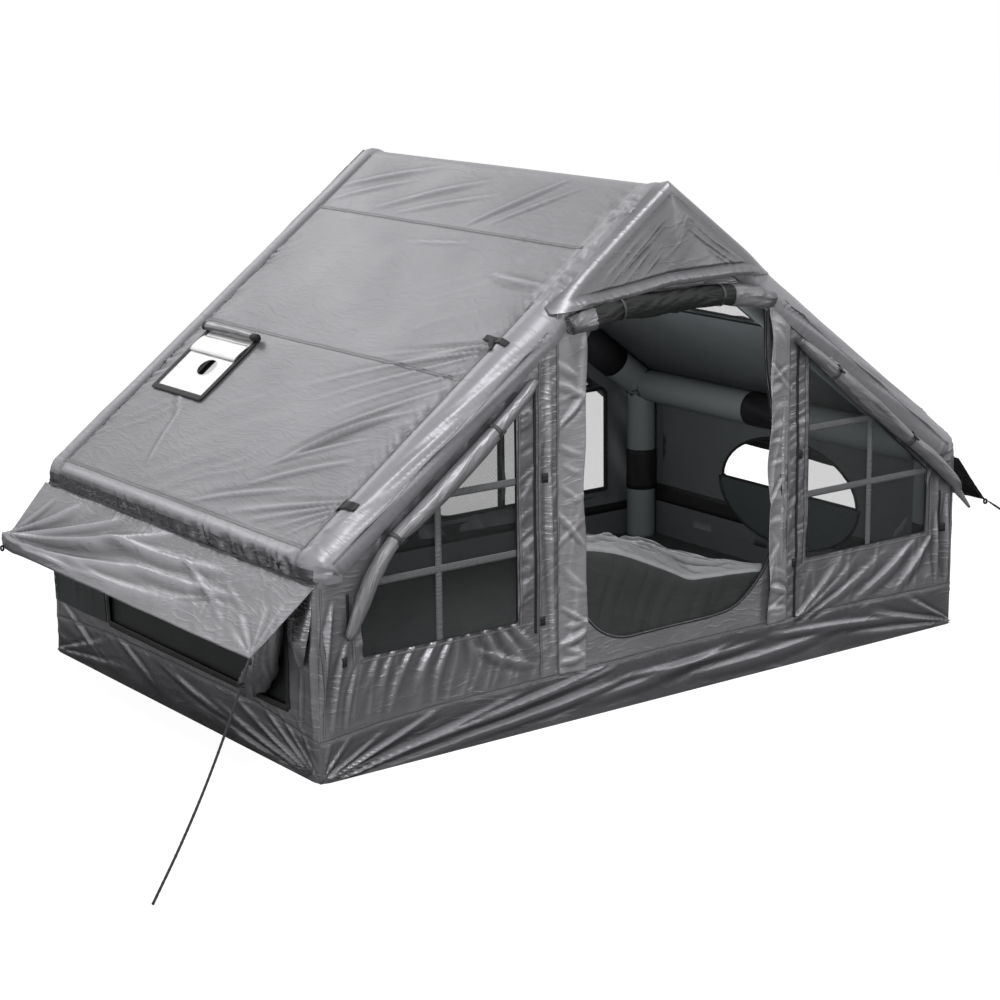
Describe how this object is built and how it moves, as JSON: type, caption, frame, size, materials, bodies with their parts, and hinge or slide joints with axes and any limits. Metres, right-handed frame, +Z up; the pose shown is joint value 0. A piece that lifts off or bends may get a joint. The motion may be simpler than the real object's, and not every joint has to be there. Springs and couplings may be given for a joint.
{
  "type": "inflatable camping tent",
  "caption": "Air-beam cabin tent with a gable roof, rolled door, mesh windows with rolled covers, side awnings on guy ropes and a stove-pipe opening",
  "frame": {"origin": "centre of the floor's underside, on the ground", "axes": "+X along the front wall to the right as seen from the front, +Y from the door to the back, +Z up"},
  "size_m": [4.9938, 2.8634, 1.9164],
  "materials": {
    "roof_cloth": "silky coated polyester, light grey",
    "wall_cloth": "silky coated polyester, mid grey",
    "tub_cloth": "heavier coated polyester, dark grey",
    "beam_cloth": "coated cloth over an air bladder, slate grey",
    "floor_cloth": "coated cloth, near black",
    "black_webbing": "woven webbing, black",
    "grey_webbing": "ruched webbing, grey",
    "mesh_cloth": "insect mesh, dark",
    "jack_cloth": "silicone-coated glass cloth, white",
    "rope_fibre": "braided cord, dark grey",
    "zip_plastic": "coil zip, black",
    "valve_plastic": "moulded, black"
  },
  "bodies": {
    "cabin": {"back_arch_beam": "beam_cloth", "back_cover_roll_left": "wall_cloth", "back_cover_roll_right": "wall_cloth", "back_wall": "wall_cloth", "back_window_mesh_left": "mesh_cloth", "back_window_mesh_right": "mesh_cloth", "door_flap_left": "wall_cloth", "door_flap_right": "wall_cloth", "door_roll": "mesh_cloth", "door_roll_tie_left": "grey_webbing", "door_roll_tie_right": "grey_webbing", "door_zip": "zip_plastic", "eave_beam_left": "beam_cloth", "eave_beam_right": "beam_cloth", "eave_sleeve_left": "black_webbing", "eave_sleeve_right": "black_webbing", "floor_tub": "tub_cloth", "front_arch_beam": "beam_cloth", "front_cover_roll_left": "wall_cloth", "front_cover_roll_right": "wall_cloth", "front_cover_tie_lower_left": "grey_webbing", "front_cover_tie_lower_right": "grey_webbing", "front_cover_tie_upper_left": "grey_webbing", "front_cover_tie_upper_right": "grey_webbing", "front_door_panel": "wall_cloth", "front_window_mesh_left": "mesh_cloth", "front_window_mesh_right": "mesh_cloth", "front_window_panel_left": "wall_cloth", "front_window_panel_right": "wall_cloth", "front_window_straps_left": "grey_webbing", "front_window_straps_right": "grey_webbing", "gable_visor": "wall_cloth", "inflation_valve": "valve_plastic", "inner_door_panel": "floor_cloth", "leg_sleeve_back_left": "black_webbing", "leg_sleeve_back_right": "black_webbing", "leg_sleeve_front_left": "black_webbing", "leg_sleeve_front_right": "black_webbing", "ridge_beam": "beam_cloth", "roof_panel_left": "roof_cloth", "roof_panel_right": "roof_cloth", "roof_vent_mesh": "mesh_cloth", "side_cover_roll_left": "wall_cloth", "side_cover_roll_right": "wall_cloth", "side_inner_panel_left": "wall_cloth", "side_inner_panel_right": "wall_cloth", "side_wall_left": "wall_cloth", "side_wall_right": "wall_cloth", "stove_jack_cover_roll": "roof_cloth", "stove_jack_panel": "jack_cloth", "valve_cover_flap": "wall_cloth"},
    "awning_left": {"awning_left": "roof_cloth"},
    "awning_right": {"awning_right": "roof_cloth"},
    "stove_jack_flap": {"stove_jack_flap": "jack_cloth"},
    "valve_cap": {"valve_cap": "valve_plastic"},
    "door_zip_slider": {"door_zip_slider": "zip_plastic"},
    "guy_rope_front_left": {"guy_rope_front_left": "rope_fibre"},
    "guy_rope_front_right": {"guy_rope_front_right": "rope_fibre"},
    "guy_rope_back_left": {"guy_rope_back_left": "rope_fibre"},
    "guy_rope_back_right": {"guy_rope_back_right": "rope_fibre"}
  },
  "joints": [
    {"name": "awning_left_hinge", "type": "hinge", "parent": "cabin", "child": "awning_left", "pos_m": [-1.5506, 0, 0.697], "axis": [0, -1, 0], "range_deg": [0, 26]},
    {"name": "guy_rope_front_left_swing", "type": "hinge", "parent": "awning_left", "child": "guy_rope_front_left", "pos_m": [-1.7783, -0.95, 0.48025], "axis": [0, -1, 0], "range_deg": [-35, 0]},
    {"name": "guy_rope_back_left_swing", "type": "hinge", "parent": "awning_left", "child": "guy_rope_back_left", "pos_m": [-1.7783, 0.95, 0.48025], "axis": [0, -1, 0], "range_deg": [-35, 0]},
    {"name": "awning_right_hinge", "type": "hinge", "parent": "cabin", "child": "awning_right", "pos_m": [1.5506, 0, 0.697], "axis": [0, 1, 0], "range_deg": [0, 26]},
    {"name": "guy_rope_front_right_swing", "type": "hinge", "parent": "awning_right", "child": "guy_rope_front_right", "pos_m": [1.7783, -0.95, 0.48025], "axis": [0, 1, 0], "range_deg": [-35, 0]},
    {"name": "guy_rope_back_right_swing", "type": "hinge", "parent": "awning_right", "child": "guy_rope_back_right", "pos_m": [1.7783, 0.95, 0.48025], "axis": [0, 1, 0], "range_deg": [-35, 0]},
    {"name": "stove_jack_flap_hinge", "type": "hinge", "parent": "cabin", "child": "stove_jack_flap", "pos_m": [-0.92346, 0.6025, 1.25166], "axis": [0, 1, 0], "range_deg": [0, 80]},
    {"name": "valve_cap_turn", "type": "hinge", "parent": "cabin", "child": "valve_cap", "pos_m": [-1.5566, -0.9217, 0.5], "axis": [-1, 0, 0], "continuous": true},
    {"name": "door_zip_slide", "type": "slide", "parent": "cabin", "child": "door_zip_slider", "axis": [0, 0, 1], "range_m": [-0.1, 0.7]}
  ],
  "couplings": [
    {"joint": "guy_rope_front_left_swing", "follows": "awning_left_hinge", "ratio": -1.32},
    {"joint": "guy_rope_back_left_swing", "follows": "awning_left_hinge", "ratio": -1.32},
    {"joint": "guy_rope_front_right_swing", "follows": "awning_right_hinge", "ratio": -1.32},
    {"joint": "guy_rope_back_right_swing", "follows": "awning_right_hinge", "ratio": -1.32}
  ]
}
